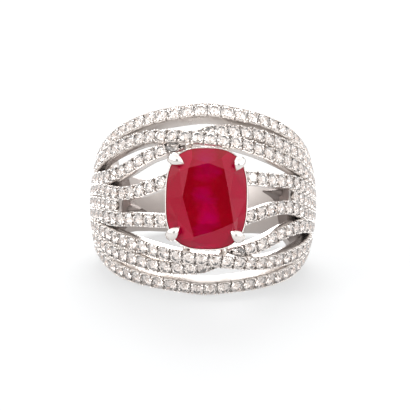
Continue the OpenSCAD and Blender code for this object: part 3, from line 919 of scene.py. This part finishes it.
class RING_OT_mount(bpy.types.Operator):
    """Makes the soldered white gold: rows, shank, basket, claws and grains"""

    bl_idname = "ring.mount"
    bl_label = "White gold mount"

    def execute(self, context):
        ring = Ring()
        gold = white_gold()
        shape = Shape()
        lower = Ring(-1)
        for name in PATHS:
            bar(lower, shape, name)
        shape.turn()
        for name in PATHS:
            bar(ring, shape, name)
        shank(ring, shape)
        basket(ring, shape)
        data = shape.mesh("mount_white_gold")
        outward_faces(data)
        put("mount_white_gold", data, gold, ["mount"], crease=35)
        tree = settings_tree("put_grains")
        marks = marks_of(PATHS, 1, grain_places) + marks_of(PATHS, -1, grain_places)
        grains = repeat("mount_grains", tree, bead(), marks, free_turn=0.0, seed=3, material=gold)
        put("mount_grains", grains, gold, [], crease=60)
        return {"FINISHED"}


class RING_OT_ruby(bpy.types.Operator):
    """Makes the cushion-cut ruby"""

    bl_idname = "ring.ruby"
    bl_label = "Ruby"

    def execute(self, context):
        put("ruby_cushion_cut", ruby_mesh(Ring()), cut_ruby(), ["ruby"])
        return {"FINISHED"}


class RING_OT_diamonds(bpy.types.Operator):
    """Sets the diamonds of all eight rows"""

    bl_idname = "ring.diamonds"
    bl_label = "Diamond rows"

    def execute(self, context):
        tree = settings_tree("put_stones")
        gem = cut_diamond()
        shape = brilliant()
        for half, word in ((1, "upper"), (-1, "lower")):
            for index, (row, names) in enumerate(ROW_NODES.items()):
                row = row.replace("upper", word)
                marks = marks_of(names, half, stone_places)
                seed = 11 + index + (7 if half < 0 else 0)
                data = repeat("stones_" + row, tree, shape, marks, free_turn=0.8, seed=seed,
                              material=gem)
                put("stones_" + row, data, gem, ["diamonds_" + row])
        return {"FINISHED"}


# Half the side of the paper in metres, and how brightly it glows near the ring.
PAPER_HALF = 1.5
PAPER_GLOW = 0.58
# Lights: name, place in metres, side of the square, power in watts.
LIGHTS = (("back_light", (0.0, 0.6, 0.36), 0.4, 4.6),
          ("left_light", (-0.5, -0.2, 0.42), 0.2, 1.6),
          ("right_light", (0.5, -0.25, 0.3), 0.18, 0.6))
# The camera before the upright ring: distance, degrees to the left, down and of roll, and where it
# looks, right and up from the ring's middle, in millimetres.
CAMERA_REACH, CAMERA_LEFT, CAMERA_DOWN, CAMERA_ROLL = 420.0, 1.35, 2.2, 1.2
CAMERA_AIM = (0.2, -0.1)
# Focal length and width of the picture in pixels.
FOCAL_PX, PICTURE_PX = 4204, 410


def lay_floor(scene):
    """White paper lit from below. The light fades out towards the edges and the paper is painted
    dark grey there as painted shade, so polished metal draws a dark horizon."""
    data = bpy.data.meshes.new("floor")
    corners = [(PAPER_HALF * x, PAPER_HALF * y, 0) for x, y in ((-1, -1), (1, -1), (1, 1), (-1, 1))]
    data.from_pydata(corners, [], [(0, 1, 2, 3)])
    floor = bpy.data.objects.new("floor", data)
    scene.collection.objects.link(floor)
    paper, tree, place = new_finish("matt_white_paper")
    away = add(tree, "ShaderNodeVectorMath", {0: place}, operation="LENGTH")
    lit = add(tree, "ShaderNodeMapRange",
              {"From Min": 0.2, "From Max": 0.42, "To Min": PAPER_GLOW, "To Max": 0.0,
               "Value": away.outputs["Value"]}, interpolation_type="SMOOTHSTEP")
    share = add(tree, "ShaderNodeMath",
                {0: lit.outputs["Result"], 1: 1 / PAPER_GLOW}, operation="MULTIPLY")
    # Painted shade: where the glow fades, the paper's own colour is painted darker too.
    tone = add(tree, "ShaderNodeMix",
               {"A": (0.12, 0.12, 0.12, 1), "B": scene.ring_colours.floor,
                "Factor": share.outputs["Value"]}, data_type="RGBA")
    surface = add(tree, "ShaderNodeBsdfPrincipled",
                  {"Roughness": 0.9, "Emission Color": (1, 1, 1, 1),
                   "Base Color": tone.outputs["Result"],
                   "Emission Strength": lit.outputs["Result"]})
    add(tree, "ShaderNodeOutputMaterial", {"Surface": surface.outputs["BSDF"]})
    data.materials.append(paper)


def hang_sky(scene):
    """The studio all round, darker low down, with a dark card in front that keeps the ruby's table
    deep."""
    world = bpy.data.worlds.new("studio")
    world.use_nodes = True
    scene.world = world
    tree = world.node_tree
    tree.nodes.clear()
    way = add(tree, "ShaderNodeTexCoord")
    split = add(tree, "ShaderNodeSeparateXYZ", {"Vector": way.outputs["Generated"]})
    height = add(tree, "ShaderNodeValToRGB", {"Fac": split.outputs["Z"]})
    ramp = height.color_ramp
    ramp.elements[0].color = (0.55, 0.54, 0.53, 1)
    ramp.elements[1].color = (1.15, 1.15, 1.15, 1)
    for position, level in ((0.09, 0.95), (0.2, 1.55), (0.55, 1.5)):
        step = ramp.elements.new(position)
        step.color = (level, level, level, 1)
    facing = add(tree, "ShaderNodeVectorMath",
                 {0: way.outputs["Generated"], 1: (0.0, -0.932, 0.362)}, operation="DOT_PRODUCT")
    card = add(tree, "ShaderNodeMapRange",
               {"From Min": 0.955, "From Max": 0.985, "Value": facing.outputs["Value"]},
               interpolation_type="SMOOTHSTEP")
    sky = add(tree, "ShaderNodeMix",
              {"B": (0.03, 0.03, 0.03, 1), "Factor": card.outputs["Result"],
               "A": height.outputs["Color"]}, data_type="RGBA")
    glow = add(tree, "ShaderNodeBackground", {"Strength": 1.0, "Color": sky.outputs["Result"]})
    add(tree, "ShaderNodeOutputWorld", {"Surface": glow.outputs["Background"]})


def hang_lights(scene):
    """Soft square lights that face the ring."""
    for name, place, size, power in LIGHTS:
        light = bpy.data.lights.new(name, "AREA")
        light.size = size
        light.energy = power
        lamp = bpy.data.objects.new(name, light)
        scene.collection.objects.link(lamp)
        lamp.location = place
        lamp.rotation_mode = "QUATERNION"
        lamp.rotation_quaternion = (-Vector(place)).to_track_quat("-Z", "Y")


def sight(eye, target):
    """Directions ahead, to the right and up for someone at eye who looks at target."""
    ahead = (target - eye).normalized()
    right = ahead.cross(Vector((0, 0, 1))).normalized()
    return ahead, right, right.cross(ahead)


def place_camera(scene):
    """The camera, laid down with the ring."""
    eye = Vector((-CAMERA_REACH * math.tan(math.radians(CAMERA_LEFT)), -CAMERA_REACH,
                  -CAMERA_REACH * math.tan(math.radians(CAMERA_DOWN))))
    ahead, right, up = sight(eye, Vector((0, 0, 0)))
    ahead, right, up = sight(eye, CAMERA_AIM[0] * right + CAMERA_AIM[1] * up)
    roll = math.radians(CAMERA_ROLL)
    across = math.cos(roll) * right + math.sin(roll) * up
    upright = -math.sin(roll) * right + math.cos(roll) * up
    turn = LAY.to_3x3().normalized()
    axes = Matrix((turn @ across, turn @ upright, turn @ (-ahead))).transposed()
    view = bpy.data.cameras.new("camera")
    view.sensor_width = 36
    view.lens = FOCAL_PX * view.sensor_width / PICTURE_PX
    view.clip_start = 0.01
    camera = bpy.data.objects.new("camera", view)
    scene.collection.objects.link(camera)
    camera.matrix_world = Matrix.Translation(LAY @ eye) @ axes.to_4x4()
    scene.camera = camera


class RING_OT_stage(bpy.types.Operator):
    """Sets the floor, the lights and the camera"""

    bl_idname = "ring.stage"
    bl_label = "Studio"

    def execute(self, context):
        scene = context.scene
        lay_floor(scene)
        hang_sky(scene)
        hang_lights(scene)
        place_camera(scene)
        scene.view_settings.view_transform = "Standard"
        return {"FINISHED"}


class RING_PT_panel(bpy.types.Panel):
    """Lists the ring's pieces in the order they are made"""

    bl_idname = "RING_PT_panel"
    bl_label = "Ruby dress ring"
    bl_space_type = "VIEW_3D"
    bl_region_type = "UI"
    bl_category = "Ring"

    def draw(self, context):
        for maker in MAKERS:
            self.layout.operator(maker.bl_idname)
        for group in (context.scene.ring_sizes, context.scene.ring_colours):
            for name in group.__annotations__:
                self.layout.prop(group, name)


MAKERS = (RING_OT_stage, RING_OT_mount, RING_OT_diamonds, RING_OT_ruby)
CLASSES = (RingSizes, RingColours) + MAKERS + (RING_PT_panel,)


def register():
    for kind in CLASSES:
        bpy.utils.register_class(kind)
    bpy.types.Scene.ring_sizes = PointerProperty(type=RingSizes)
    bpy.types.Scene.ring_colours = PointerProperty(type=RingColours)


def unregister():
    del bpy.types.Scene.ring_colours
    del bpy.types.Scene.ring_sizes
    for kind in reversed(CLASSES):
        bpy.utils.unregister_class(kind)


def main():
    register()
    bpy.ops.ring.stage()
    bpy.ops.ring.mount()
    bpy.ops.ring.diamonds()
    bpy.ops.ring.ruby()


if __name__ == "__main__":
    main()
